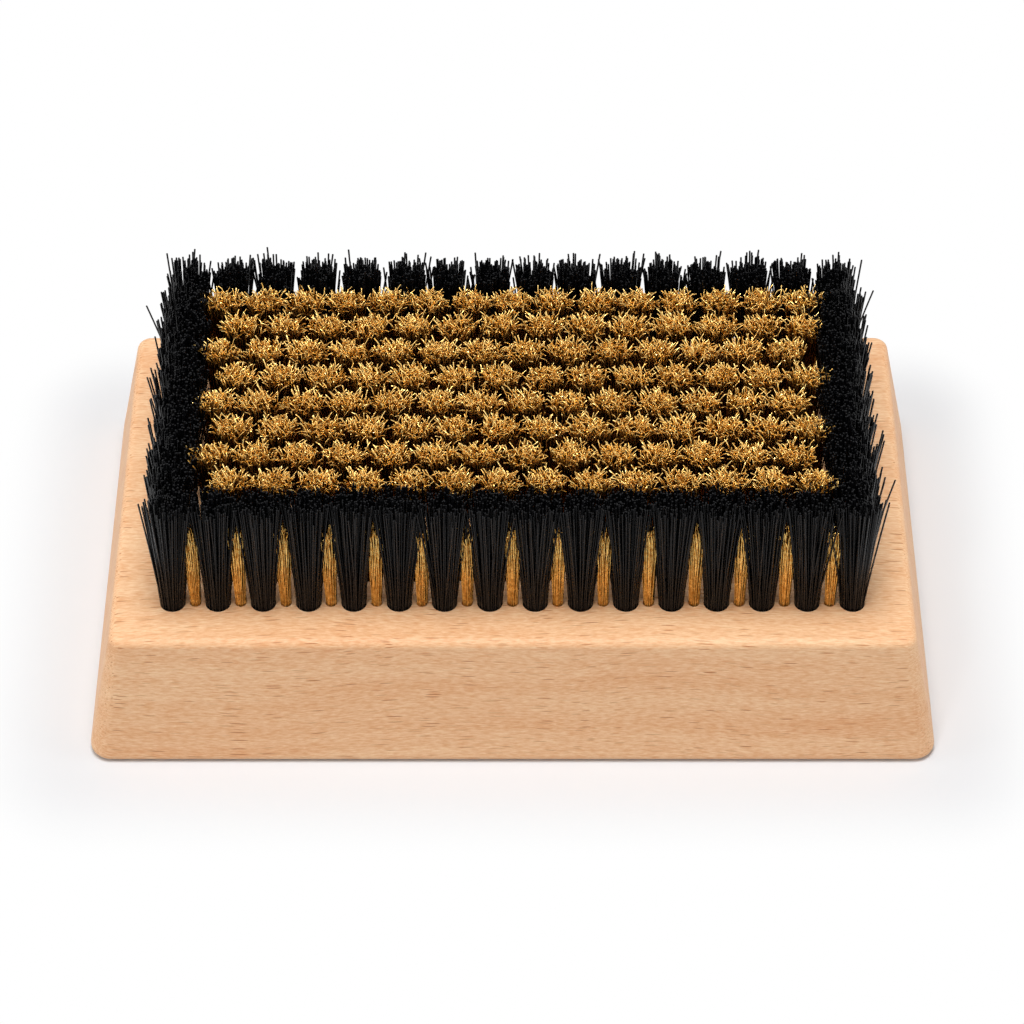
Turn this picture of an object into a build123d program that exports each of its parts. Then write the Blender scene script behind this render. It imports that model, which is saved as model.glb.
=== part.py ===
from build123d import *
import os
from collections import namedtuple
from math import atan, cos, degrees, floor, radians, sin

# Suede brush: one block of beech, a border of stiff black nylon tufts, and staggered rows
# of brass wire tufts inside it. Every tuft is a bundle folded over a small metal anchor
# and driven into its own blind hole.
# Millimetres. The origin is the middle of the block's flat base, and the bristles stand
# up along +Z. X runs along the block and Y from its front to its back.

# Block. Each side leans in by the draw, from the base to the top.
block_length = 120.6
block_width = 72.0
block_height = 20.6
side_draw = 4.0
side_edge_radius = 3.2
top_edge_radius = 1.3
base_edge_chamfer = 0.7

# Tuft field: the rows run along X, counted from the front. The border's holes stand in
# from the edges of the block's top by these margins, and each row has as many tufts as
# fit at its least pitch.
end_margin = 8.7
side_margin = 7.9
least_border_pitch = 6.3
field_rows = 10

# Brass rows start further in than the border, and are shifted right and left in turn.
# The last one has one tuft more, and reaches as far as both kinds of row.
brass_inset = 5.7
brass_stagger = 1.4
least_brass_pitch = 6.2

# Nylon tufts. The tip sizes are those of a tuft's cut end, across X and Y, and the parting
# is how far each of its locks then moves out from the others.
nylon_hole_width = 3.6
nylon_hole_depth = 11.0
nylon_height = 19.3
nylon_tip_width = 4.9
nylon_tip_depth = 4.5
nylon_parting = 0.3

# Brass tufts
brass_hole_width = 2.6
brass_hole_depth = 10.0
brass_height = 19.0
brass_tip_width = 4.9
brass_tip_depth = 4.2
brass_parting = 0.25

# Narrow brass tufts in the gaps of the front and back nylon rows. They are cut lower than
# the rest, and pressed thin by their neighbours.
gap_hole_width = 1.6
gap_hole_depth = 10.0
gap_height = 15.6
gap_tip_width = 0.6
gap_tip_depth = 3.0
gap_parting = 0.1

# How far a corner of a lock's cut end can lie below the full height of its tuft, and how
# far a lock leans to a side
tip_unevenness = 0.9
tip_lean = 0.06

# Anchors: flat cut lengths of wire, on edge across the hole, over the fold of the bundle
anchor_thickness = 0.35
anchor_height = 1.5
fold_height = 0.9

# A drilled hole and the root that fills it are drawn with six flats, two of them facing
# the ends of the anchor. A tuft's locks of bristles share out the root: each of a nylon
# tuft's three locks starts on a third of it, and each of a brass tuft's two on a half.
hole_sides = 6
corner_angle = 360 / hole_sides
nylon_locks = 3
brass_locks = 2
first_nylon_lock_angle = 30.0
first_brass_lock_angle = 0.0

# The tufts of one kind differ a little in how they are cut and lean. The golden ratio
# spreads such differences evenly over any count.
tuft_forms = 5
golden_ratio = 1.618034

TuftKind = namedtuple(
    "TuftKind",
    "hole_width hole_depth height tip_width tip_depth parting locks first_lock_angle",
)
nylon = TuftKind(
    nylon_hole_width, nylon_hole_depth, nylon_height, nylon_tip_width, nylon_tip_depth,
    nylon_parting, nylon_locks, first_nylon_lock_angle,
)
brass = TuftKind(
    brass_hole_width, brass_hole_depth, brass_height, brass_tip_width, brass_tip_depth,
    brass_parting, brass_locks, first_brass_lock_angle,
)
gap_brass = TuftKind(
    gap_hole_width, gap_hole_depth, gap_height, gap_tip_width, gap_tip_depth,
    gap_parting, brass_locks, first_brass_lock_angle,
)


# Places of the tufts. A reach is the distance between the middles of a row's end holes.

last_row = field_rows - 1
border_depth = block_width - 2 * (side_draw + side_margin)
border_reach = block_length - 2 * (side_draw + end_margin)
last_column = floor(border_reach / least_border_pitch)
border_columns = last_column + 1
gap_reach = border_reach - border_reach / last_column
brass_reach = border_reach - 2 * brass_inset
shifted_reach = brass_reach - 2 * brass_stagger
brass_columns = floor(shifted_reach / least_brass_pitch) + 1


def spread(index, count, reach):
    """The place of one of count items that are spread evenly over a reach, round zero."""
    return (index / (count - 1) - 1 / 2) * reach


def row_y(row):
    return spread(row, field_rows, border_depth)


def row_places(row, count, reach, shift=0):
    return [(spread(i, count, reach) + shift, row_y(row)) for i in range(count)]


def side_places(column):
    x = spread(column, border_columns, border_reach)
    return [(x, row_y(row)) for row in range(1, last_row)]


def brass_places(row):
    if row == last_row - 1:
        return row_places(row, brass_columns + 1, brass_reach)
    shift = brass_stagger if row % 2 else -brass_stagger
    return row_places(row, brass_columns, shifted_reach, shift)


tuft_groups = {
    "nylon_tufts_front_row": (nylon, row_places(0, border_columns, border_reach)),
    "nylon_tufts_back_row": (nylon, row_places(last_row, border_columns, border_reach)),
    "nylon_tufts_left_column": (nylon, side_places(0)),
    "nylon_tufts_right_column": (nylon, side_places(last_column)),
    "brass_tufts_front_gaps": (gap_brass, row_places(0, last_column, gap_reach)),
    "brass_tufts_back_gaps": (gap_brass, row_places(last_row, last_column, gap_reach)),
}
for row in range(1, last_row):
    tuft_groups[f"brass_tufts_row_{row}"] = (brass, brass_places(row))


# Shapes. A hole, an anchor and a tuft are made on the axis of their hole.

def direction(angle):
    return Vector(cos(radians(angle)), sin(radians(angle)))


def corner_reach(kind):
    """The distance of a hole's corners from its axis."""
    return kind.hole_width / 2 / cos(radians(corner_angle / 2))


def hole_corner(kind, angle):
    """The corner of a hole's outline at this angle round its axis."""
    return direction(angle) * corner_reach(kind)


def hole_solid(kind):
    """The blind hole of one tuft, as the solid that fills it."""
    first_corner = corner_angle / 2
    corners = [hole_corner(kind, first_corner + corner_angle * i) for i in range(hole_sides)]
    return extrude(Pos(0, 0, block_height) * Polygon(*corners), amount=-kind.hole_depth)


def anchor(kind):
    """The anchor of one tuft: it spans the hole from wall to wall, over the fold."""
    on_base = (Align.CENTER, Align.CENTER, Align.MIN)
    blank = Box(kind.hole_width, anchor_thickness, anchor_height, align=on_base)
    return Pos(0, 0, block_height - kind.hole_depth + fold_height) * blank


def scatter(number):
    """An even, repeatable scatter between 0 and 1."""
    return number * golden_ratio - floor(number * golden_ratio)


def lock_foot(kind, angle):
    """The corners of one lock's share of the root: half its hexagon, or a third of it."""
    sides = hole_sides // kind.locks
    foot = [hole_corner(kind, angle + corner_angle * (i - sides / 2)) for i in range(sides + 1)]
    if kind.locks > 2:
        foot.append(Vector(0, 0))
    return foot


def lock(kind, angle, number):
    """A lock of bristles, which opens out from its share of the root to its cut end."""
    foot = lock_foot(kind, angle)
    widening = kind.tip_width / kind.hole_width
    deepening = kind.tip_depth / 2 / corner_reach(kind)
    shift = direction(angle) * kind.parting + direction(360 * scatter(number)) * tip_lean
    tip = []
    for i, corner in enumerate(foot):
        height = kind.height - tip_unevenness * scatter(number * len(foot) + i)
        tip.append(shift + Vector(corner.X * widening, corner.Y * deepening, height))
    return Pos(0, 0, block_height) * ConvexPolyhedron(foot + tip)


def tuft(kind, form):
    """The folded root, which fills its hole round the anchor, with its splayed locks."""
    root = hole_solid(kind) - anchor(kind)
    locks = []
    for i in range(kind.locks):
        angle = kind.first_lock_angle + 360 * i / kind.locks
        locks.append(lock(kind, angle, form * kind.locks + i))
    return root.fuse(*locks)


def beech_block():
    """A block with leaning sides and softened edges, drilled for every tuft."""
    lean = degrees(atan(side_draw / block_height))
    block = extrude(Rectangle(block_length, block_width), amount=block_height, taper=lean)
    side_edges = block.edges().filter_by(lambda edge: 0 < edge.center().Z < block_height)
    block = fillet(side_edges, side_edge_radius)
    block = fillet(block.faces().sort_by(Axis.Z)[-1].edges(), top_edge_radius)
    block = chamfer(block.faces().sort_by(Axis.Z)[0].edges(), base_edge_chamfer)
    holes = []
    for kind, places in tuft_groups.values():
        hole = hole_solid(kind)
        holes += [Pos(x, y) * hole for x, y in places]
    return block.cut(*holes)


# Export, one file per named piece or group of like pieces

def export(pieces, name):
    group = Compound(children=pieces)
    group.label = name
    export_step(group, f"parts/{name}.step")


os.makedirs("parts", exist_ok=True)
export([beech_block()], "beech_block")
forms = {}
for kind in (nylon, brass, gap_brass):
    forms[kind] = [tuft(kind, form) for form in range(tuft_forms)]
number = 0
for name, (kind, places) in tuft_groups.items():
    tufts = []
    for x, y in places:
        tufts.append(Pos(x, y) * forms[kind][number % tuft_forms])
        number += 1
    export(tufts, name)
    export([Pos(x, y) * anchor(kind) for x, y in places], name.replace("tufts", "anchors"))
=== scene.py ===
# %% [markdown]
# # A suede brush
# The brush is a block of beech with a border of stiff black nylon tufts round a field of brass wire
# tufts. Everything here is built round a measured frame of the same brush: the frame says where each
# hole is and how high each tuft stands, and the cells below give every piece its real form and finish.
# Blender counts in metres, so real sizes are written in millimetres and multiplied by MM.

# %% The frame
import math

import bmesh
import bpy
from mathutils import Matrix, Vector, noise


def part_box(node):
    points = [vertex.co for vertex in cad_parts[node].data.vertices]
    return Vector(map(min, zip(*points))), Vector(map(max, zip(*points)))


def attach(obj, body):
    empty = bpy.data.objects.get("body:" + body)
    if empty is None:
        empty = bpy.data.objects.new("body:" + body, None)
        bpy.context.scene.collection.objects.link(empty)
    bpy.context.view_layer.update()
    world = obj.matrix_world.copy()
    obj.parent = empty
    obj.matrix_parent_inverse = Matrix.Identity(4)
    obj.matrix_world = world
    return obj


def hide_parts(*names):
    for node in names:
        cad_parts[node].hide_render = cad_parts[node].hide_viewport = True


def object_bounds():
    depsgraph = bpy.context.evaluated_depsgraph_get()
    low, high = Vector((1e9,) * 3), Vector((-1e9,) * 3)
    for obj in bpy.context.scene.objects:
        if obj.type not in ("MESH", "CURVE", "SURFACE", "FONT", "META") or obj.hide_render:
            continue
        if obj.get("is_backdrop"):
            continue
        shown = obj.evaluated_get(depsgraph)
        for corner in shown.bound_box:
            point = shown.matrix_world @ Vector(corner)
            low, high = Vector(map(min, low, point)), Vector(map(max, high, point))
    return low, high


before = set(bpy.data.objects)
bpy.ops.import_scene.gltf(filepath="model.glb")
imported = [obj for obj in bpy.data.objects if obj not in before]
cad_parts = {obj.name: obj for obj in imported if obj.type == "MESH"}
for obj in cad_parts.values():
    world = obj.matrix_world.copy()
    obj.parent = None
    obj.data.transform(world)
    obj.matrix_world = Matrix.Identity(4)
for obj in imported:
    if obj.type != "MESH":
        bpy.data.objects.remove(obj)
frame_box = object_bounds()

MM = 0.001
print("pieces in the frame:", len(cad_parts))

# %% [markdown]
# ## Where the holes are
# On the real block the holes are drilled in straight rows. Each tuft is held by a small anchor that
# spans its hole, so a row of anchors in the frame gives the row's holes: their middles are spread
# evenly between the two end anchors. Reading them there, and not typing them again, keeps every
# bristle over its own hole when the block's size changes.

# %% Kinds of tuft, and their holes
LOW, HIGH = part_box("beech_block")
TOP = HIGH.z
ANCHOR_THICKNESS = 0.35 * MM
KINDS = {
    "nylon": {"hole": 3.6 * MM, "depth": 11.0 * MM},
    "brass": {"hole": 2.6 * MM, "depth": 10.0 * MM},
    "gap": {"hole": 1.6 * MM, "depth": 10.0 * MM},
}


def spread_evenly(first, last, count):
    return [first + (last - first) * i / (count - 1) for i in range(count)]


def row_holes(anchors, kind, count):
    """The middles of a row's holes, along X."""
    low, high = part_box(anchors)
    reach = KINDS[kind]["hole"] / 2
    y = (low.y + high.y) / 2
    return [(x, y) for x in spread_evenly(low.x + reach, high.x - reach, count)]


def column_holes(anchors, count):
    """The middles of a side column's holes, along Y."""
    low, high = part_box(anchors)
    reach = ANCHOR_THICKNESS / 2
    x = (low.x + high.x) / 2
    return [(x, y) for y in spread_evenly(low.y + reach, high.y - reach, count)]


# %% Every tuft on the brush
BORDER_ROW, BORDER_COLUMN, GAPS = 16, 8, 15
BRASS_ROWS, BRASS_ROW, LAST_BRASS_ROW = 8, 14, 15
tufts = {
    "nylon_tufts_front_row": ("nylon", row_holes("nylon_anchors_front_row", "nylon", BORDER_ROW)),
    "nylon_tufts_back_row": ("nylon", row_holes("nylon_anchors_back_row", "nylon", BORDER_ROW)),
    "nylon_tufts_left_column": ("nylon", column_holes("nylon_anchors_left_column", BORDER_COLUMN)),
    "nylon_tufts_right_column": ("nylon", column_holes("nylon_anchors_right_column", BORDER_COLUMN)),
    "brass_tufts_front_gaps": ("gap", row_holes("brass_anchors_front_gaps", "gap", GAPS)),
    "brass_tufts_back_gaps": ("gap", row_holes("brass_anchors_back_gaps", "gap", GAPS)),
}
for row in range(1, BRASS_ROWS + 1):
    count = LAST_BRASS_ROW if row == BRASS_ROWS else BRASS_ROW
    holes = row_holes(f"brass_anchors_row_{row}", "brass", count)
    tufts[f"brass_tufts_row_{row}"] = ("brass", holes)
print("tufts:", sum(len(holes) for kind, holes in tufts.values()))

# %% [markdown]
# ## One helper for every node tree
# Materials and Geometry Nodes are both trees of nodes. One small function adds a node, sets its
# properties, and fills its inputs: a plain value is typed into the socket, and a node or one of its
# outputs is linked to it.

# %% Adding a node, and colours
def add_node(tree, kind, inputs=None, **settings):
    """Adds a node. Inputs are given by the socket's name or number."""
    node = tree.nodes.new(kind)
    for name, value in settings.items():
        setattr(node, name, value)
    for socket, value in (inputs or {}).items():
        if isinstance(value, bpy.types.Node):
            value = value.outputs[0]
        if isinstance(value, bpy.types.NodeSocket):
            tree.links.new(value, node.inputs[socket])
        else:
            node.inputs[socket].default_value = value
    return node


def linear(hex_colour):
    """An sRGB hex colour as the linear colour, with alpha, that shaders work in."""
    shares = [int(hex_colour[i:i + 2], 16) / 255 for i in (1, 3, 5)]
    return (*[s / 12.92 if s <= 0.04045 else ((s + 0.055) / 1.055) ** 2.4 for s in shares], 1)


def new_material(name):
    """An empty material: its tree, and the place on the object that every pattern here reads."""
    material = bpy.data.materials.new(name)
    material.use_nodes = True
    tree = material.node_tree
    tree.nodes.clear()
    place = add_node(tree, "ShaderNodeTexCoord").outputs["Object"]
    return material, tree, place


# Nearly all values of a noise texture lie between these two
NOISE_LOW, NOISE_HIGH = 0.3, 0.7

# %% [markdown]
# ## Beech, planed and sanded
# Beech is a pale, pinkish tan wood with a very even grain. Three things make it beech to the eye:
# faint bands from its yearly growth, fine fibres along the length, and many short brown dashes, a
# few millimetres long, where the cut opens its rays. All are made in space and stretched along X, as
# in the real plank, so that they run along the front and the top and end as dots on the ends. A slow
# noise bends the grain a little, because no plank is dead straight. Real fibres are about 0.02 mm
# wide, too fine to show, so they are drawn ten times as coarse. The surface is bare and sanded:
# rough, with hardly any gloss.

# %% Sizes and colours of the beech
BAND_WIDTH = 3.2 * MM
BAND_LENGTH = 70.0 * MM
FIBRE_WIDTH = 0.2 * MM
FIBRE_LENGTH = 1.3 * MM
FIBRE_SHARE = 0.7
DASH_WIDTH = 0.34 * MM
DASH_LENGTH = 5.5 * MM
BEND_LENGTH = 45.0 * MM
BEND_HEIGHT = 7.0 * MM
GRAIN_RELIEF = 0.05 * MM
BEECH_DARK = "#dea06f"
BEECH_LIGHT = "#f2ca9f"
BEECH_DASH = "#b0662c"


def add_grain(tree, place):
    """The three patterns of the wood: bands, fibres and dashes, each stretched along the grain."""
    slow = add_node(
        tree, "ShaderNodeTexNoise", {"Vector": place, "Scale": 1 / BEND_LENGTH, "Detail": 1.0}
    )
    centred = add_node(
        tree, "ShaderNodeVectorMath", {0: slow.outputs["Color"], 1: (0.5, 0.5, 0.5)},
        operation="SUBTRACT",
    )
    grain = add_node(
        tree, "ShaderNodeVectorMath", {0: centred, 1: (0, BEND_HEIGHT, BEND_HEIGHT), 2: place},
        operation="MULTIPLY_ADD",
    )
    stretched = {}
    for name, length, width in (
        ("band", BAND_LENGTH, BAND_WIDTH), ("fibre", FIBRE_LENGTH, FIBRE_WIDTH),
        ("dash", DASH_LENGTH, DASH_WIDTH),
    ):
        scale = (1 / length, 1 / width, 1 / width)
        stretched[name] = add_node(tree, "ShaderNodeMapping", {"Vector": grain, "Scale": scale})
    bands = add_node(
        tree, "ShaderNodeTexNoise", {"Vector": stretched["band"], "Scale": 1.0, "Detail": 3.0}
    )
    fibres = add_node(
        tree, "ShaderNodeTexNoise",
        {"Vector": stretched["fibre"], "Scale": 1.0, "Detail": 3.0, "Roughness": 0.6},
    )
    dashes = add_node(tree, "ShaderNodeTexVoronoi", {"Vector": stretched["dash"], "Scale": 1.0})
    return bands, fibres, dashes


# %% Beech
def make_beech():
    material, tree, place = new_material("beech_planed_and_sanded")
    bands, fibres, dashes = add_grain(tree, place)

    # The ground: between two tans, partly by the bands and partly by the fibres
    weave = add_node(tree, "ShaderNodeMix", {0: FIBRE_SHARE, 2: bands, 3: fibres}, data_type="FLOAT")
    shade = add_node(tree, "ShaderNodeMapRange", {"Value": weave, "From Min": 0.36, "From Max": 0.64})
    ground = add_node(
        tree, "ShaderNodeMix", {0: shade, 6: linear(BEECH_DARK), 7: linear(BEECH_LIGHT)},
        data_type="RGBA",
    )

    # The dashes: most cells have one, with a sharp core, and some are faint
    core = add_node(
        tree, "ShaderNodeMapRange",
        {"Value": dashes.outputs["Distance"], "From Min": 0.16, "From Max": 0.29,
         "To Min": 1.0, "To Max": 0.0},
        interpolation_type="SMOOTHSTEP",
    )
    chance = add_node(tree, "ShaderNodeSeparateColor", {"Color": dashes.outputs["Color"]})
    depth = add_node(
        tree, "ShaderNodeMapRange",
        {"Value": chance.outputs["Red"], "From Min": 0.2, "From Max": 1.0, "To Min": 0.0, "To Max": 0.9},
    )
    dash = add_node(tree, "ShaderNodeMath", {0: core, 1: depth}, operation="MULTIPLY")
    coloured = add_node(
        tree, "ShaderNodeMix", {0: dash, 6: ground.outputs[2], 7: linear(BEECH_DASH)},
        data_type="RGBA",
    )

    # The relief: fibres stand up a little, and dashes are sunk
    height = add_node(
        tree, "ShaderNodeMath", {0: dash, 1: -0.3, 2: fibres}, operation="MULTIPLY_ADD"
    )
    bump = add_node(
        tree, "ShaderNodeBump", {"Strength": 0.3, "Distance": GRAIN_RELIEF, "Height": height}
    )
    surface = add_node(
        tree, "ShaderNodeBsdfPrincipled",
        {"Base Color": coloured.outputs[2], "Roughness": 0.55, "IOR": 1.5, "Normal": bump,
         "Specular IOR Level": 0.4},
    )
    add_node(tree, "ShaderNodeOutputMaterial", {"Surface": surface})
    return material


beech = make_beech()
print("made", beech.name)

# %% [markdown]
# ## Black nylon bristle
# The border's bristles are cut from drawn nylon thread: a deep neutral black with a smooth skin. The
# skin gives each bristle a thin grey line of light down its side, and the cut ends catch small
# sparks. A little noise in the roughness keeps the lines from all being alike.

# %% Black nylon
BRISTLE_PATCH = 0.5 * MM
NYLON_DEEP = "#060607"
NYLON_PALE = "#111114"


def make_nylon():
    material, tree, place = new_material("nylon_thread_drawn_black")
    patches = add_node(
        tree, "ShaderNodeTexNoise", {"Vector": place, "Scale": 1 / BRISTLE_PATCH, "Detail": 2.0}
    )
    roughness = add_node(
        tree, "ShaderNodeMapRange",
        {"Value": patches, "From Min": NOISE_LOW, "From Max": NOISE_HIGH, "To Min": 0.2, "To Max": 0.38},
    )
    colour = add_node(
        tree, "ShaderNodeMix", {0: patches, 6: linear(NYLON_DEEP), 7: linear(NYLON_PALE)},
        data_type="RGBA",
    )
    surface = add_node(
        tree, "ShaderNodeBsdfPrincipled",
        {"Base Color": colour.outputs[2], "Roughness": roughness, "IOR": 1.53,
         "Specular IOR Level": 0.2},
    )
    add_node(tree, "ShaderNodeOutputMaterial", {"Surface": surface})
    return material


nylon = make_nylon()
print("made", nylon.name)

# %% [markdown]
# ## Brass wire
# The field is drawn brass wire, crimped and cut. Brass is a metal, so its colour is the colour of its
# reflections: warm gold where it is clean, browner where its skin has dulled. The patches of dull
# metal are only a few wires wide, so that wires in a tuft differ from each other. Down among the
# tufts the wires stand in each other's shade, and that shade is painted into the colour too: the
# finish darkens to brown under one level and keeps its own colour over another. The narrow tufts in
# the front and back rows get this painted shade only inside their holes, so their two levels lie no
# higher than the top of the wood.

# %% Brass wire
TARNISH_PATCH = 0.6 * MM
# Painted shade: under the first level the field's wires are coloured dark brown for the shade deep among
# the tufts, and over the second they keep their own colour.
PAINTED_SHADE_BELOW = TOP + 15.6 * MM
UNSHADED_ABOVE = TOP + 18.2 * MM
BRASS_PAINTED_SHADE = "#7d5119"
BRASS_TARNISHED = "#d8a24c"
FIELD_CLEAN = "#ffdb8c"
EDGE_CLEAN = "#ffd987"


def make_brass(name, shade_below, unshaded_above, clean_colour):
    material, tree, place = new_material(name)
    patches = add_node(
        tree, "ShaderNodeTexNoise", {"Vector": place, "Scale": 1 / TARNISH_PATCH, "Detail": 2.0}
    )
    tarnish = add_node(
        tree, "ShaderNodeMapRange",
        {"Value": patches, "From Min": 0.42, "From Max": 0.66, "To Min": 0.0, "To Max": 1.0},
    )
    clean = add_node(
        tree, "ShaderNodeMix", {0: tarnish, 6: linear(clean_colour), 7: linear(BRASS_TARNISHED)},
        data_type="RGBA",
    )
    # Painted shade: the colour darkens to brown towards the bottom of the wires, where the tufts shade
    # each other.
    level = add_node(tree, "ShaderNodeSeparateXYZ", {"Vector": place})
    out_of_shade = add_node(
        tree, "ShaderNodeMapRange",
        {"Value": level.outputs["Z"], "From Min": shade_below, "From Max": unshaded_above},
        interpolation_type="SMOOTHSTEP",
    )
    colour = add_node(
        tree, "ShaderNodeMix", {0: out_of_shade, 6: linear(BRASS_PAINTED_SHADE), 7: clean.outputs[2]},
        data_type="RGBA",
    )
    roughness = add_node(
        tree, "ShaderNodeMapRange",
        {"Value": patches, "From Min": NOISE_LOW, "From Max": NOISE_HIGH,
         "To Min": 0.22, "To Max": 0.42},
    )
    surface = add_node(
        tree, "ShaderNodeBsdfPrincipled",
        {"Base Color": colour.outputs[2], "Metallic": 1.0, "Roughness": roughness},
    )
    add_node(tree, "ShaderNodeOutputMaterial", {"Surface": surface})
    return material


# The field's wires get painted shade low among the tufts; the narrow edge tufts get it only inside their
# holes.
field_brass = make_brass("brass_wire_drawn_painted_shade_below_its_ends", PAINTED_SHADE_BELOW, UNSHADED_ABOVE, FIELD_CLEAN)
edge_brass = make_brass("brass_wire_drawn_painted_shade_in_its_holes", LOW.z, TOP, EDGE_CLEAN)
print("made", field_brass.name, "and", edge_brass.name)

# %% [markdown]
# ## Anchor wire
# The anchors sit deep in the holes, under the bristles, and hardly ever show. They are short flat
# cuts of galvanised steel wire: a soft grey metal with a faint spangle from the zinc.

# %% Galvanised steel
SPANGLE = 0.4 * MM
ZINC_PALE = "#a9adb0"
ZINC_DARK = "#8d9194"


def make_galvanised_steel():
    material, tree, place = new_material("steel_wire_galvanised")
    spangle = add_node(tree, "ShaderNodeTexVoronoi", {"Vector": place, "Scale": 1 / SPANGLE})
    colour = add_node(
        tree, "ShaderNodeMix",
        {0: spangle.outputs["Distance"], 6: linear(ZINC_PALE), 7: linear(ZINC_DARK)},
        data_type="RGBA",
    )
    surface = add_node(
        tree, "ShaderNodeBsdfPrincipled",
        {"Base Color": colour.outputs[2], "Metallic": 1.0, "Roughness": 0.45},
    )
    add_node(tree, "ShaderNodeOutputMaterial", {"Surface": surface})
    return material


steel = make_galvanised_steel()
for name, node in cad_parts.items():
    if "anchors" in name:
        node.data.materials.clear()
        node.data.materials.append(steel)
print("made", steel.name)

# %% [markdown]
# ## A tuft of strands, as a Geometry Nodes tree
# A tuft is one bundle of threads that fills its hole and opens out above it. One tree makes every
# tuft on the brush, and its inputs say how many strands, how thick, how far they open and how wavy
# they are. It works in five steps, and each has a cell of its own below:
# 1. Each hole is one vertex. The vertex is repeated once for each strand, and strand number i gets a
#    place in the hole on a sunflower spiral, which packs a circle evenly.
# 2. The same place, widened and shaken a little, gives the strand's tip. A few strands are shaken
#    much more and become strays.
# 3. Each tip gets its level. The outer ones end lower, so that the tuft is domed, and a noise makes
#    neighbouring strands end together in little clumps.
# 4. A straight line is put on each place, and its points are moved: the first below the wood, the
#    second at the mouth of the hole, and the rest along the way to the tip, with the crimp's wave
#    and a little hook where the shears bent the cut end over.
# 5. Each line gets a small round profile, and becomes a mesh.
#
# Two of the inputs shape the way to the tip. A larger Bend makes a strand turn outwards later, and a
# larger Gather moves a line's points towards its tip, where the hook needs them.

# %% The inputs of a tree
TREE_INPUTS = {
    "Holes": "Geometry", "Strands": "Int", "Points": "Int", "Sides": "Int", "Seed": "Int",
    "Hole radius": "Float", "Strand radius": "Float", "Foot": "Float", "Mouth": "Float",
    "Rise": "Float", "Dome": "Float", "Unevenness": "Float", "Clumping": "Float",
    "Spread": "Vector", "Shake": "Vector", "Straying": "Float", "Bend": "Float", "Gather": "Float",
    "Crimp": "Float", "Crimp length": "Float", "Hook": "Float", "Hook share": "Float",
    "Material": "Material",
}


def new_tree(name, inputs, result):
    """An empty Geometry Nodes tree: the tree, and the outputs of its input node."""
    tree = bpy.data.node_groups.new(name, "GeometryNodeTree")
    for socket, kind in inputs.items():
        tree.interface.new_socket(socket, in_out="INPUT", socket_type="NodeSocket" + kind)
    tree.interface.new_socket(result, in_out="OUTPUT", socket_type="NodeSocketGeometry")
    return tree, add_node(tree, "NodeGroupInput").outputs


# %% Step 1: strands on a spiral
GOLDEN_ANGLE = math.radians(137.50776)


def add_strands(tree, given):
    """One point for each strand. Also its share of the count, and its spot in a unit circle."""
    index = add_node(tree, "GeometryNodeInputIndex")
    tuft_number = add_node(
        tree, "GeometryNodeStoreNamedAttribute",
        {"Geometry": given["Holes"], "Name": "tuft", "Value": index}, data_type="INT", domain="POINT",
    )
    strands = add_node(
        tree, "GeometryNodeDuplicateElements", {"Geometry": tuft_number, "Amount": given["Strands"]},
        domain="POINT",
    )
    number = strands.outputs["Duplicate Index"]
    tuft = add_node(tree, "GeometryNodeInputNamedAttribute", {"Name": "tuft"}, data_type="INT")
    counted = add_node(tree, "ShaderNodeMath", {0: number, 1: 0.5}, operation="ADD")
    share = add_node(tree, "ShaderNodeMath", {0: counted, 1: given["Strands"]}, operation="DIVIDE")
    ring = add_node(tree, "ShaderNodeMath", {0: share}, operation="SQRT")
    spun = add_node(
        tree, "ShaderNodeMath", {0: number, 1: GOLDEN_ANGLE, 2: tuft}, operation="MULTIPLY_ADD"
    )
    outward = add_node(tree, "ShaderNodeCombineXYZ", {"X": ring})
    spot = add_node(
        tree, "ShaderNodeVectorRotate", {"Vector": outward, "Angle": spun}, rotation_type="Z_AXIS"
    )
    return strands, share, spot


# %% Step 2: where the strands end
STRAY_RARITY = 6.0


def add_tips(tree, given, spot, shake_seed, luck_seed):
    """Each strand's tip, sideways from its hole: its spot, spread, leaning and shaken."""
    lean = add_node(
        tree, "GeometryNodeInputNamedAttribute", {"Name": "lean"}, data_type="FLOAT_VECTOR"
    )
    spread = add_node(
        tree, "ShaderNodeVectorMath", {0: spot, 1: given["Spread"], 2: lean}, operation="MULTIPLY_ADD"
    )
    shaken = add_node(
        tree, "FunctionNodeRandomValue", {"Min": (-1, -1, 0), "Max": (1, 1, 0), "Seed": shake_seed},
        data_type="FLOAT_VECTOR",
    )
    luck = add_node(
        tree, "FunctionNodeRandomValue", {2: 0.0, 3: 1.0, "Seed": luck_seed}, data_type="FLOAT"
    )
    rare = add_node(
        tree, "ShaderNodeMath", {0: luck.outputs[1], 1: STRAY_RARITY}, operation="POWER"
    )
    straying = add_node(
        tree, "ShaderNodeMath", {0: rare, 1: given["Straying"], 2: 1.0}, operation="MULTIPLY_ADD"
    )
    strayed = add_node(
        tree, "ShaderNodeVectorMath", {0: shaken, "Scale": straying}, operation="SCALE"
    )
    return add_node(
        tree, "ShaderNodeVectorMath", {0: strayed, 1: given["Shake"], 2: spread},
        operation="MULTIPLY_ADD",
    )


# %% Step 3: how high they end
CLUMP_SIZE = 1.6 * MM


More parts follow.
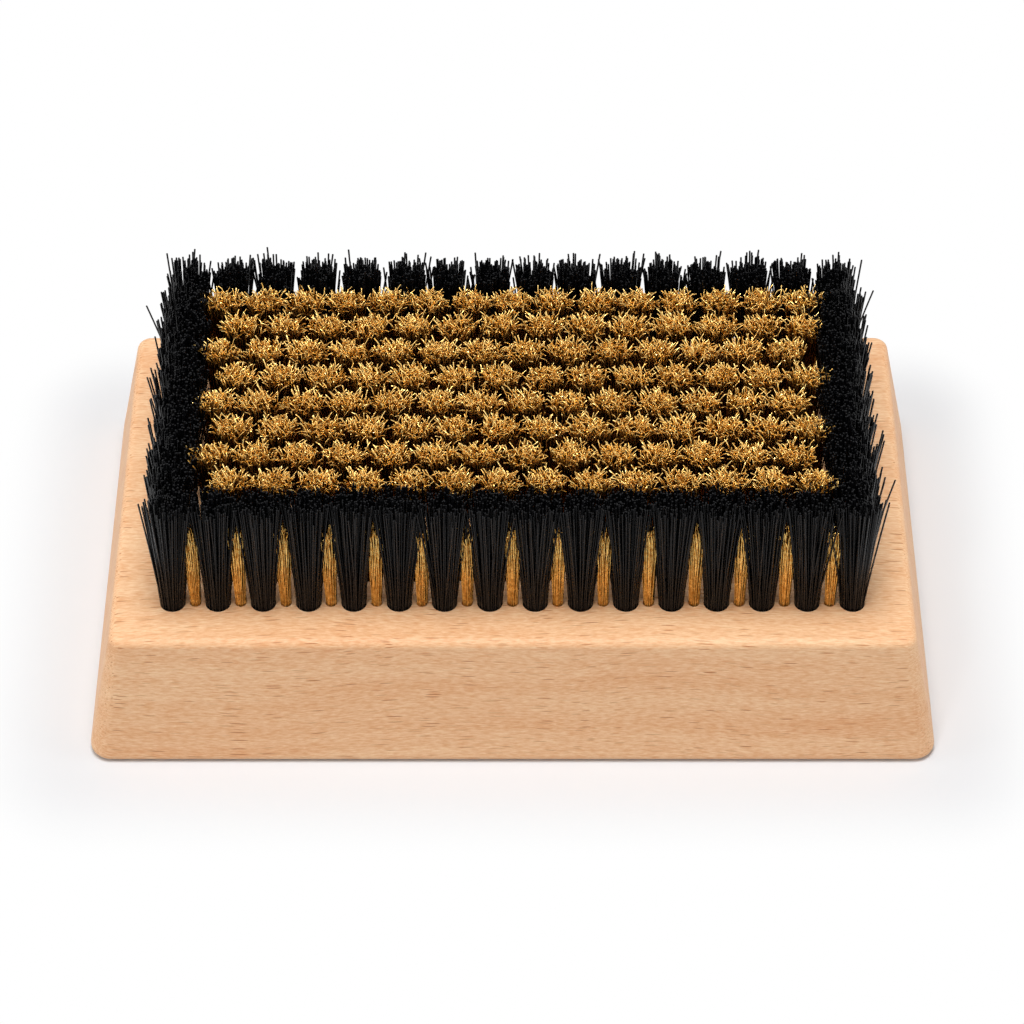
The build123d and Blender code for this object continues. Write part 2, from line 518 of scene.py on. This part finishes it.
def add_rises(tree, given, share, tip, level_seed):
    """Each strand's height over the wood: domed, clumped and a little uneven."""
    domed = add_node(tree, "ShaderNodeMath", {0: share, 1: given["Dome"]}, operation="MULTIPLY")
    level = add_node(tree, "ShaderNodeMath", {0: given["Rise"], 1: domed}, operation="SUBTRACT")
    over_hole = add_node(tree, "GeometryNodeInputPosition")
    at_tip = add_node(tree, "ShaderNodeVectorMath", {0: over_hole, 1: tip}, operation="ADD")
    clumps = add_node(
        tree, "ShaderNodeTexNoise", {"Vector": at_tip, "Scale": 1 / CLUMP_SIZE, "Detail": 1.0}
    )
    clump_level = add_node(
        tree, "ShaderNodeMapRange",
        {"Value": clumps, "From Min": NOISE_LOW, "From Max": NOISE_HIGH, "To Min": -1.0, "To Max": 1.0},
    )
    clumped = add_node(
        tree, "ShaderNodeMath", {0: clump_level, 1: given["Clumping"], 2: level},
        operation="MULTIPLY_ADD",
    )
    scattered = add_node(
        tree, "FunctionNodeRandomValue", {2: -1.0, 3: 1.0, "Seed": level_seed}, data_type="FLOAT"
    )
    return add_node(
        tree, "ShaderNodeMath", {0: scattered.outputs[1], 1: given["Unevenness"], 2: clumped},
        operation="MULTIPLY_ADD",
    )


# %% Step 4, upwards: how far along its way each point is
def add_climb(tree, given, along):
    """The share of the way from the hole's mouth to the tip, the climb, and the point's height."""
    spaces = add_node(tree, "ShaderNodeMath", {0: given["Points"], 1: 1.0}, operation="SUBTRACT")
    first = add_node(tree, "ShaderNodeMath", {0: 1.0, 1: spaces}, operation="DIVIDE")
    inside = add_node(
        tree, "ShaderNodeMapRange",
        {"Value": along, "From Max": first, "To Min": given["Foot"], "To Max": given["Mouth"]},
    )
    left = add_node(
        tree, "ShaderNodeMapRange", {"Value": along, "From Min": first, "To Min": 1.0, "To Max": 0.0}
    )
    gathered = add_node(tree, "ShaderNodeMath", {0: left, 1: given["Gather"]}, operation="POWER")
    above = add_node(tree, "ShaderNodeMath", {0: 1.0, 1: gathered}, operation="SUBTRACT")
    rise = add_node(tree, "GeometryNodeInputNamedAttribute", {"Name": "rise"}, data_type="FLOAT")
    climbed = add_node(tree, "ShaderNodeMath", {0: above, 1: rise}, operation="MULTIPLY")
    height = add_node(tree, "ShaderNodeMath", {0: inside, 1: climbed}, operation="ADD")
    return above, climbed, height


# %% Step 4, sideways: from the root to the tip, with the crimp's wave
FULL_TURN = 2 * math.pi
# A strand's own phase, times this, also turns its wave to a side of its own
CRIMP_SIDES = 7.0


def add_crimped_way(tree, given, above, climbed):
    """How far each point lies sideways from the middle of its hole."""
    root = add_node(
        tree, "GeometryNodeInputNamedAttribute", {"Name": "root"}, data_type="FLOAT_VECTOR"
    )
    tip = add_node(
        tree, "GeometryNodeInputNamedAttribute", {"Name": "tip"}, data_type="FLOAT_VECTOR"
    )
    phase = add_node(tree, "GeometryNodeInputNamedAttribute", {"Name": "phase"}, data_type="FLOAT")
    bent = add_node(tree, "ShaderNodeMath", {0: above, 1: given["Bend"]}, operation="POWER")
    sideways = add_node(tree, "ShaderNodeMix", {0: bent, 4: root, 5: tip}, data_type="VECTOR")
    waves = add_node(
        tree, "ShaderNodeMath", {0: FULL_TURN, 1: given["Crimp length"]}, operation="DIVIDE"
    )
    turn = add_node(
        tree, "ShaderNodeMath", {0: climbed, 1: waves, 2: phase}, operation="MULTIPLY_ADD"
    )
    wave = add_node(tree, "ShaderNodeMath", {0: turn}, operation="SINE")
    swing = add_node(tree, "ShaderNodeMath", {0: wave, 1: given["Crimp"]}, operation="MULTIPLY")
    freed = add_node(tree, "ShaderNodeMath", {0: swing, 1: above}, operation="MULTIPLY")
    swung = add_node(tree, "ShaderNodeCombineXYZ", {"X": freed})
    side = add_node(tree, "ShaderNodeMath", {0: phase, 1: CRIMP_SIDES}, operation="MULTIPLY")
    crimped = add_node(
        tree, "ShaderNodeVectorRotate", {"Vector": swung, "Angle": side}, rotation_type="Z_AXIS"
    )
    return add_node(
        tree, "ShaderNodeVectorMath", {0: sideways.outputs[1], 1: crimped}, operation="ADD"
    )


# %% Step 4, the hook: a curl over the last share of the way
def add_hook(tree, given, above, way):
    """The same way, with the strand's end pushed towards its hook."""
    start = add_node(tree, "ShaderNodeMath", {0: 1.0, 1: given["Hook share"]}, operation="SUBTRACT")
    into_hook = add_node(tree, "ShaderNodeMapRange", {"Value": above, "From Min": start})
    curled = add_node(tree, "ShaderNodeMath", {0: into_hook, 1: 2.0}, operation="POWER")
    hook = add_node(
        tree, "GeometryNodeInputNamedAttribute", {"Name": "hook"}, data_type="FLOAT_VECTOR"
    )
    return add_node(
        tree, "ShaderNodeVectorMath", {0: hook, 1: curled, 2: way}, operation="MULTIPLY_ADD"
    )


def add_shaped_lines(tree, given, points):
    """A straight line of unit height on every point, moved to its strand's own way."""
    line = add_node(tree, "GeometryNodeCurvePrimitiveLine", {"Start": (0, 0, 0), "End": (0, 0, 1)})
    cut = add_node(tree, "GeometryNodeResampleCurve", {"Curve": line, "Count": given["Points"]})
    placed = add_node(tree, "GeometryNodeInstanceOnPoints", {"Points": points, "Instance": cut})
    real = add_node(tree, "GeometryNodeRealizeInstances", {"Geometry": placed})
    position = add_node(tree, "GeometryNodeInputPosition")
    along = add_node(tree, "ShaderNodeSeparateXYZ", {"Vector": position}).outputs["Z"]
    above, climbed, height = add_climb(tree, given, along)
    way = add_crimped_way(tree, given, above, climbed)
    hooked = add_hook(tree, given, above, way)
    drop = add_node(tree, "ShaderNodeMath", {0: height, 1: along}, operation="SUBTRACT")
    lift = add_node(tree, "ShaderNodeCombineXYZ", {"Z": drop})
    moved = add_node(tree, "ShaderNodeVectorMath", {0: hooked, 1: lift}, operation="ADD")
    return add_node(tree, "GeometryNodeSetPosition", {"Geometry": real, "Offset": moved})


# %% Step 5, and the whole tree
SEED_STEP = 100


def make_tuft_tree():
    tree, given = new_tree("tuft_of_strands", TREE_INPUTS, "Tufts")
    seeds = [
        add_node(tree, "ShaderNodeMath", {0: given["Seed"], 1: SEED_STEP * i}, operation="ADD")
        for i in range(5)
    ]
    strands, share, spot = add_strands(tree, given)
    inner_radius = add_node(
        tree, "ShaderNodeMath", {0: given["Hole radius"], 1: given["Strand radius"]},
        operation="SUBTRACT",
    )
    root = add_node(tree, "ShaderNodeVectorMath", {0: spot, "Scale": inner_radius}, operation="SCALE")
    tip = add_tips(tree, given, spot, seeds[0], seeds[1])
    rise = add_rises(tree, given, share, tip, seeds[2])
    phase = add_node(
        tree, "FunctionNodeRandomValue", {2: 0.0, 3: FULL_TURN, "Seed": seeds[3]}, data_type="FLOAT"
    )
    bent_over = add_node(
        tree, "FunctionNodeRandomValue", {"Min": (-1, -1, -0.7), "Max": (1, 1, 0), "Seed": seeds[4]},
        data_type="FLOAT_VECTOR",
    )
    hook = add_node(
        tree, "ShaderNodeVectorMath", {0: bent_over, "Scale": given["Hook"]}, operation="SCALE"
    )

    # What was drawn for each strand is stored on its point, so that its line can read it
    kept = strands
    for name, value, kind in (
        ("root", root, "FLOAT_VECTOR"), ("tip", tip, "FLOAT_VECTOR"), ("hook", hook, "FLOAT_VECTOR"),
        ("rise", rise, "FLOAT"), ("phase", phase.outputs[1], "FLOAT"),
    ):
        kept = add_node(
            tree, "GeometryNodeStoreNamedAttribute", {"Geometry": kept, "Name": name, "Value": value},
            data_type=kind, domain="POINT",
        )
    shaped = add_shaped_lines(tree, given, kept)

    # A round skin for every line
    section = add_node(
        tree, "GeometryNodeCurvePrimitiveCircle",
        {"Resolution": given["Sides"], "Radius": given["Strand radius"]}, mode="RADIUS",
    )
    skin = add_node(
        tree, "GeometryNodeCurveToMesh", {"Curve": shaped, "Profile Curve": section, "Fill Caps": True}
    )
    smooth = add_node(tree, "GeometryNodeSetShadeSmooth", {"Geometry": skin})
    whole = add_node(tree, "GeometryNodeRealizeInstances", {"Geometry": smooth})
    finished = add_node(
        tree, "GeometryNodeSetMaterial", {"Geometry": whole, "Material": given["Material"]}
    )
    add_node(tree, "NodeGroupOutput", {"Tufts": finished})
    return tree


tuft_tree = make_tuft_tree()
print("the tuft tree has", len(tuft_tree.nodes), "nodes")

# %% [markdown]
# ## Running a tree, and keeping a plain mesh
# A modifier's inputs are known by hidden identifiers, so they are looked up by name first. The
# finished shape is then read off as a plain mesh, and the modifier is taken away.

# %% From tree to mesh
HELPER_ATTRIBUTES = ("tuft", "root", "tip", "hook", "rise", "phase", "lean", "bit")


def grow(name, tree, starting_mesh, values):
    """Runs a Geometry Nodes tree on a mesh, and returns the result as a plain object."""
    seed_object = bpy.data.objects.new(name, starting_mesh)
    bpy.context.scene.collection.objects.link(seed_object)
    modifier = seed_object.modifiers.new(tree.name, "NODES")
    modifier.node_group = tree
    sockets = {s.name: s.identifier for s in tree.interface.items_tree if s.in_out == "INPUT"}
    for socket, value in values.items():
        modifier[sockets[socket]] = value
    graph = bpy.context.evaluated_depsgraph_get()
    mesh = bpy.data.meshes.new_from_object(seed_object.evaluated_get(graph))
    seed_object.modifiers.clear()
    seed_object.data = mesh
    mesh.name = name
    for attribute in [a for a in mesh.attributes if a.name in HELPER_ATTRIBUTES]:
        mesh.attributes.remove(attribute)
    return seed_object


def points_mesh(name, points, attribute_name, vectors):
    """A mesh of loose vertices, each with a vector that the tree reads by its name."""
    mesh = bpy.data.meshes.new(name)
    mesh.from_pydata(points, [], [])
    attribute = mesh.attributes.new(attribute_name, "FLOAT_VECTOR", "POINT")
    for item, vector in zip(attribute.data, vectors):
        item.vector = vector
    return mesh


# %% [markdown]
# ## The tufts themselves
# Nylon is thick and springy: its strands are almost straight, and open out like a fan. Brass wire is
# thinner, so that as many strands fit a smaller hole, and its crimp shows as a wave. The narrow brass
# tufts between the front and back bristles are held together by their neighbours and stand lower.
# The frame gives the height of each kind, and loose strands stand a little proud of it. The numbers
# below were tuned one kind at a time.

# %% How each kind of tuft looks
NYLON_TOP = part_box("nylon_tufts_front_row")[1].z
BRASS_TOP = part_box("brass_tufts_row_1")[1].z
GAP_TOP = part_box("brass_tufts_front_gaps")[1].z
PROUD = 0.5 * MM
STYLES = {
    "nylon": {
        "Strands": 150, "Points": 7, "Sides": 4, "Strand radius": 0.13 * MM,
        "Rise": NYLON_TOP - TOP + PROUD, "Dome": 0.5 * MM, "Unevenness": 0.7 * MM,
        "Clumping": 0.6 * MM, "Spread": (3.4 * MM, 3.1 * MM, 0.0),
        "Shake": (0.4 * MM, 0.4 * MM, 0.0), "Straying": 4.0,
        "Bend": 1.15, "Gather": 1.0, "Crimp": 0.0, "Crimp length": 5.0 * MM,
        "Hook": 0.0, "Hook share": 0.1, "Material": nylon,
    },
    "brass": {
        "Strands": 150, "Points": 11, "Sides": 3, "Strand radius": 0.1 * MM,
        "Rise": BRASS_TOP - TOP + 1.6 * PROUD, "Dome": 0.8 * MM, "Unevenness": 0.45 * MM,
        "Clumping": 0.3 * MM, "Spread": (2.75 * MM, 1.8 * MM, 0.0),
        "Shake": (0.35 * MM, 0.25 * MM, 0.0), "Straying": 6.0,
        "Bend": 2.0, "Gather": 1.7, "Crimp": 0.1 * MM, "Crimp length": 3.2 * MM,
        "Hook": 1.1 * MM, "Hook share": 0.075, "Material": field_brass,
    },
    "gap": {
        "Strands": 46, "Points": 9, "Sides": 3, "Strand radius": 0.115 * MM,
        "Rise": GAP_TOP - TOP - PROUD, "Dome": 1.4 * MM, "Unevenness": 0.7 * MM,
        "Clumping": 0.0, "Spread": (1.25 * MM, 1.0 * MM, 0.0),
        "Shake": (0.1 * MM, 0.2 * MM, 0.0), "Straying": 2.0,
        "Bend": 1.0, "Gather": 1.2, "Crimp": 0.12 * MM, "Crimp length": 7.0 * MM,
        "Hook": 0.3 * MM, "Hook share": 0.08, "Material": edge_brass,
    },
}
# The back row's tufts open less and part from each other. The side columns open wider.
SIDE_STYLE = {"Spread": (3.8 * MM, 3.1 * MM, 0.0), "Straying": 6.0}
ROW_STYLES = {
    "nylon_tufts_back_row": {
        "Spread": (2.7 * MM, 2.8 * MM, 0.0), "Unevenness": 1.0 * MM, "Clumping": 1.2 * MM,
        "Straying": 8.0,
    },
    "nylon_tufts_left_column": SIDE_STYLE,
    "nylon_tufts_right_column": SIDE_STYLE,
}
for kind, style in STYLES.items():
    print(kind, "stands", round(style["Rise"] / MM, 1), "mm over the wood")

# %% Growing the tufts
ANCHOR_TOP = 2.4 * MM
LEAN_LENGTH = 7 * MM
LEAN_SHAKE = 0.25 * MM
INWARD_LEAN = 0.7 * MM
LEAN_SEED = 5

# Without a seed, the noise that leans the tufts starts from the clock and differs in each run
noise.seed_set(LEAN_SEED)


def tuft_leans(kind, holes):
    """How far each tuft leans at its tip. Nylon ones lean in, the more the further out they stand."""
    inward = INWARD_LEAN / HIGH.x if kind == "nylon" else 0.0
    leans = []
    for x, y in holes:
        shaken = noise.noise_vector(Vector((x, y, 0)) / LEAN_LENGTH)
        leans.append((shaken.x * LEAN_SHAKE - x * inward, shaken.y * LEAN_SHAKE, 0))
    return leans


for number, (name, (kind, holes)) in enumerate(tufts.items()):
    values = STYLES[kind] | ROW_STYLES.get(name, {})
    values["Seed"] = number
    values["Hole radius"] = KINDS[kind]["hole"] / 2
    values["Foot"] = TOP - KINDS[kind]["depth"] + ANCHOR_TOP
    values["Mouth"] = TOP
    points = points_mesh(name, [(x, y, 0) for x, y in holes], "lean", tuft_leans(kind, holes))
    piece = grow(name.replace("tufts", "strands"), tuft_tree, points, values)
    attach(piece, "root")
    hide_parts(name)
    print(piece.name, len(piece.data.polygons), "faces")

# %% [markdown]
# ## The block
# The real block is sawn from a plank with its four sides leaning in, drilled, and sanded so that
# every edge is soft. The outline is a rectangle with round corners, and the section is a line with
# two eased ends. Both are joined column by column, so that the sanded top edge can be a little
# wider here and narrower there, as a hand on a belt sander leaves it.

# %% Sizes of the blank, and a rounded corner
SIDE_DRAW = 4.0 * MM
BASE_CORNER = 3.2 * MM
TOP_CORNER = 1.9 * MM
TOP_EASE = 1.3 * MM
BASE_EASE = 1.1 * MM
EASE_STEPS = 8
CORNER_STEPS = 8
SIDE_STEP = 4.0 * MM
EASE_WOBBLE_SHARE = 0.18
WOBBLE_LENGTH = 9.0 * MM


def eased_corner(before, corner, after, radius, steps):
    """Points of the round that takes the place of a corner."""
    back, on = (before - corner).normalized(), (after - corner).normalized()
    half = back.angle(on) / 2
    middle = corner + (back + on).normalized() * (radius / math.sin(half))
    start = corner + back * (radius / math.tan(half)) - middle
    end = corner + on * (radius / math.tan(half)) - middle
    return [middle + start.slerp(end, i / steps).normalized() * radius for i in range(steps + 1)]


# %% The outline's columns
def block_columns():
    """Where each column stands: which way it faces, and its corner's share of the two half sizes."""
    columns = []
    corners = [(1, 1), (-1, 1), (-1, -1), (1, -1)]
    for i, corner in enumerate(corners):
        following = corners[(i + 1) % len(corners)]
        for step in range(CORNER_STEPS):
            columns.append((math.pi / 2 * (i + step / CORNER_STEPS), corner))
        length = (HIGH.x - LOW.x) if corner[0] != following[0] else (HIGH.y - LOW.y)
        stops = round(length / SIDE_STEP)
        for stop in range(stops):
            share = stop / stops
            place = tuple(a + (b - a) * share for a, b in zip(corner, following))
            columns.append((math.pi / 2 * (i + 1), place))
    return columns


# %% The sanded blank
def sanded_blank():
    half_x, half_y = (HIGH.x - LOW.x) / 2, (HIGH.y - LOW.y) / 2
    shape = bmesh.new()
    rows = []
    for angle, (share_x, share_y) in block_columns():
        facing = Vector((math.cos(angle), math.sin(angle)))
        rim = Vector((share_x * half_x, share_y * half_y, 0)) / WOBBLE_LENGTH
        ease = TOP_EASE * (1 + EASE_WOBBLE_SHARE * noise.noise(rim))
        foot, shoulder = Vector((0, 0)), Vector((SIDE_DRAW, TOP))
        section = eased_corner(Vector((half_y, 0)), foot, shoulder, BASE_EASE, EASE_STEPS)
        section += eased_corner(foot, shoulder, Vector((half_y, TOP)), ease, EASE_STEPS)
        column = []
        for inset, z in section:
            lean = SIDE_DRAW * z / TOP
            corner = BASE_CORNER + (TOP_CORNER - BASE_CORNER) * z / TOP
            x = share_x * (half_x - lean - corner) + facing.x * (corner + lean - inset)
            y = share_y * (half_y - lean - corner) + facing.y * (corner + lean - inset)
            column.append(shape.verts.new((x, y, z)))
        rows.append(column)
    for i, column in enumerate(rows):
        beside = rows[(i + 1) % len(rows)]
        for j in range(len(column) - 1):
            shape.faces.new((column[j], beside[j], beside[j + 1], column[j + 1]))
    shape.faces.new([column[0] for column in reversed(rows)])
    shape.faces.new([column[-1] for column in rows])
    mesh = bpy.data.meshes.new("sanded_blank")
    shape.to_mesh(mesh)
    shape.free()
    return mesh


blank = sanded_blank()
print("the blank has", len(blank.polygons), "faces")

# %% [markdown]
# ## Drilling
# The holes repeat, so another small tree drills them: it stands one drill bit on every hole, sized
# by that hole's radius and depth, and takes all of them out of the blank in one cut.

# %% The drilling tree
DRILL_INPUTS = {"Blank": "Geometry", "Holes": "Object", "Sides": "Int", "Material": "Material"}


def make_drill_tree():
    tree, given = new_tree("drilled_block", DRILL_INPUTS, "Block")
    holes = add_node(tree, "GeometryNodeObjectInfo", {"Object": given["Holes"]})
    bit_size = add_node(
        tree, "GeometryNodeInputNamedAttribute", {"Name": "bit"}, data_type="FLOAT_VECTOR"
    )
    bit = add_node(
        tree, "GeometryNodeMeshCylinder", {"Vertices": given["Sides"], "Radius": 1.0, "Depth": 1.0}
    )
    bits = add_node(
        tree, "GeometryNodeInstanceOnPoints",
        {"Points": holes.outputs["Geometry"], "Instance": bit, "Scale": bit_size},
    )
    solid_bits = add_node(tree, "GeometryNodeRealizeInstances", {"Geometry": bits})
    drilled = add_node(
        tree, "GeometryNodeMeshBoolean", {"Mesh 1": given["Blank"], "Mesh 2": solid_bits},
        operation="DIFFERENCE", solver="EXACT",
    )
    whole = add_node(tree, "GeometryNodeRealizeInstances", {"Geometry": drilled})
    finished = add_node(
        tree, "GeometryNodeSetMaterial", {"Geometry": whole, "Material": given["Material"]}
    )
    add_node(tree, "NodeGroupOutput", {"Block": finished})
    return tree


# %% The drill bits
DRILL_SIDES = 28
DRILL_RUN_OUT = 2.0 * MM


def drill_points():
    """An object of loose vertices, one in the middle of each drill bit, with the bit's size."""
    places, sizes = [], []
    for kind, holes in tufts.values():
        radius, depth = KINDS[kind]["hole"] / 2, KINDS[kind]["depth"]
        for x, y in holes:
            places.append((x, y, TOP + (DRILL_RUN_OUT - depth) / 2))
            sizes.append((radius, radius, depth + DRILL_RUN_OUT))
    holder = bpy.data.objects.new("drill_points", points_mesh("drill_points", places, "bit", sizes))
    bpy.context.scene.collection.objects.link(holder)
    return holder


# %% The drilled block
SHARP_EDGE = math.radians(40)

drills = drill_points()
block = grow(
    "block_of_beech", make_drill_tree(), blank,
    {"Holes": drills, "Sides": DRILL_SIDES, "Material": beech},
)
bpy.data.objects.remove(drills)
block.data.polygons.foreach_set("use_smooth", [True] * len(block.data.polygons))
block.data.set_sharp_from_angle(angle=SHARP_EDGE)
evener = block.modifiers.new("even_shading", "WEIGHTED_NORMAL")
evener.keep_sharp = True
graph = bpy.context.evaluated_depsgraph_get()
block.data = bpy.data.meshes.new_from_object(block.evaluated_get(graph))
block.modifiers.clear()
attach(block, "root")
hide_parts("beech_block")
print(block.name, len(block.data.polygons), "faces")

# %% [markdown]
# ## The floor
# The brush stands on pale paper. The camera sees it as pure white a little way from the object, while
# the paper near the block is lit like any other thing and keeps its soft shadow. Rays that are
# mirrored by the brass, or pass through something clear, see the same white as the camera does.

# %% The floor
FLOOR_SIZE = 3.0
WHITE_FROM = 2.0 * MM
WHITE_TO = 18.0 * MM
PAPER = "#d8d9db"


def add_seen(tree):
    """One where a ray comes from the camera, a mirror or a glass, and zero elsewhere."""
    path = add_node(tree, "ShaderNodeLightPath").outputs
    seen = add_node(
        tree, "ShaderNodeMath", {0: path["Is Camera Ray"], 1: path["Is Glossy Ray"]},
        operation="MAXIMUM",
    )
    return add_node(
        tree, "ShaderNodeMath", {0: seen, 1: path["Is Transmission Ray"]}, operation="MAXIMUM"
    )


def make_floor():
    mesh = bpy.data.meshes.new("floor")
    half = FLOOR_SIZE / 2
    corners = [(-half, -half, 0), (half, -half, 0), (half, half, 0), (-half, half, 0)]
    mesh.from_pydata(corners, [], [(0, 1, 2, 3)])
    floor = bpy.data.objects.new("floor", mesh)
    bpy.context.scene.collection.objects.link(floor)
    material, tree, place = new_material("white_paper_sweep")

    # How far a point is from the block's outline
    quarter = add_node(tree, "ShaderNodeVectorMath", {0: place}, operation="ABSOLUTE")
    past_block = add_node(
        tree, "ShaderNodeVectorMath", {0: quarter, 1: (HIGH.x, HIGH.y, 0)}, operation="SUBTRACT"
    )
    outside = add_node(
        tree, "ShaderNodeVectorMath", {0: past_block, 1: (0, 0, 0)}, operation="MAXIMUM"
    )
    away = add_node(tree, "ShaderNodeVectorMath", {0: outside}, operation="LENGTH")
    whiteness = add_node(
        tree, "ShaderNodeMapRange",
        {"Value": away.outputs["Value"], "From Min": WHITE_FROM, "From Max": WHITE_TO},
        interpolation_type="SMOOTHSTEP",
    )
    share = add_node(tree, "ShaderNodeMath", {0: add_seen(tree), 1: whiteness}, operation="MULTIPLY")
    paper = add_node(tree, "ShaderNodeBsdfDiffuse", {"Color": linear(PAPER)})
    glow = add_node(tree, "ShaderNodeEmission", {"Color": (1, 1, 1, 1), "Strength": 1.0})
    mixed = add_node(tree, "ShaderNodeMixShader", {0: share, 1: paper, 2: glow})
    add_node(tree, "ShaderNodeOutputMaterial", {"Surface": mixed})
    mesh.materials.append(material)
    floor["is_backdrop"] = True
    print("the floor is white from", round(WHITE_TO / MM), "mm outside the block")


make_floor()

# %% [markdown]
# ## Light
# One wide soft lamp hangs over the brush, and two weaker ones stand at its ends, as round a
# photographer's table. Bristles only show as bristles when each has a thin line of light, and only a
# small lamp draws one, so a small one stands in front. The world is white and adds a little light
# from everywhere.

# %% The lamps and the world
LAMPS = {
    "overhead_softbox": {"place": (-0.02, -0.06, 0.9), "aim": (0, 0, 0), "width": 0.36, "watts": 6.5},
    "front_spark_lamp": {"place": (-0.3, -0.6, 0.65), "aim": (0, 0, 0.02), "width": 0.1, "watts": 0.8},
    "left_softbox": {"place": (-0.9, -0.15, 0.4), "aim": (0, 0, 0.02), "width": 0.4, "watts": 1.7},
    "right_softbox": {"place": (0.9, -0.15, 0.4), "aim": (0, 0, 0.02), "width": 0.4, "watts": 1.5},
}
WORLD_LIGHT = 0.3


def area_lamp(name, place, aim, width, watts):
    light = bpy.data.lights.new(name, "AREA")
    light.shape = "SQUARE"
    light.size = width
    light.energy = watts
    lamp = bpy.data.objects.new(name, light)
    lamp.location = place
    lamp.rotation_euler = (Vector(aim) - Vector(place)).to_track_quat("-Z", "Y").to_euler()
    bpy.context.scene.collection.objects.link(lamp)
    print(name, watts, "W")


def make_world():
    world = bpy.data.worlds.new("white_room")
    world.use_nodes = True
    tree = world.node_tree
    tree.nodes.clear()
    strength = add_node(
        tree, "ShaderNodeMapRange", {"Value": add_seen(tree), "To Min": WORLD_LIGHT, "To Max": 1.0}
    )
    sky = add_node(tree, "ShaderNodeBackground", {"Color": (1, 1, 1, 1), "Strength": strength})
    add_node(tree, "ShaderNodeOutputWorld", {"Surface": sky})
    bpy.context.scene.world = world


for name, lamp in LAMPS.items():
    area_lamp(name, **lamp)
make_world()
bpy.context.scene.view_settings.view_transform = "Standard"

# %% [markdown]
# ## The camera
# The photograph looks down on the brush from in front, from about half a metre, with a long lens, so
# the sides lean in only a little with distance.

# %% The camera
VIEW_ELEVATION = math.radians(44.6)
VIEW_DISTANCE = 550.0 * MM
VIEW_AIM = Vector((-0.08, -6.0, 20.6)) * MM
LENS_LENGTH = 134.7

camera_data = bpy.data.cameras.new("camera")
camera_data.lens = LENS_LENGTH
camera_data.sensor_width = 36.0
camera = bpy.data.objects.new("camera", camera_data)
back = Vector((0, -math.cos(VIEW_ELEVATION), math.sin(VIEW_ELEVATION)))
camera.location = VIEW_AIM + back * VIEW_DISTANCE
camera.rotation_euler = (math.pi / 2 - VIEW_ELEVATION, 0, 0)
bpy.context.scene.collection.objects.link(camera)
bpy.context.scene.camera = camera
print("the camera stands", round(camera.location.z / MM), "mm over the floor")

# %% [markdown]
# ## Sizes of the frame and of the dressed brush
# The dressed brush has to be as large as the frame. Both boxes are printed at the end.

# %% Writing the sizes, and the end
sizes = {"frame": frame_box, "dressed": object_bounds()}
for name, box in sizes.items():
    print(name, "mm:", [round((high - low) / MM, 1) for low, high in zip(*box)])
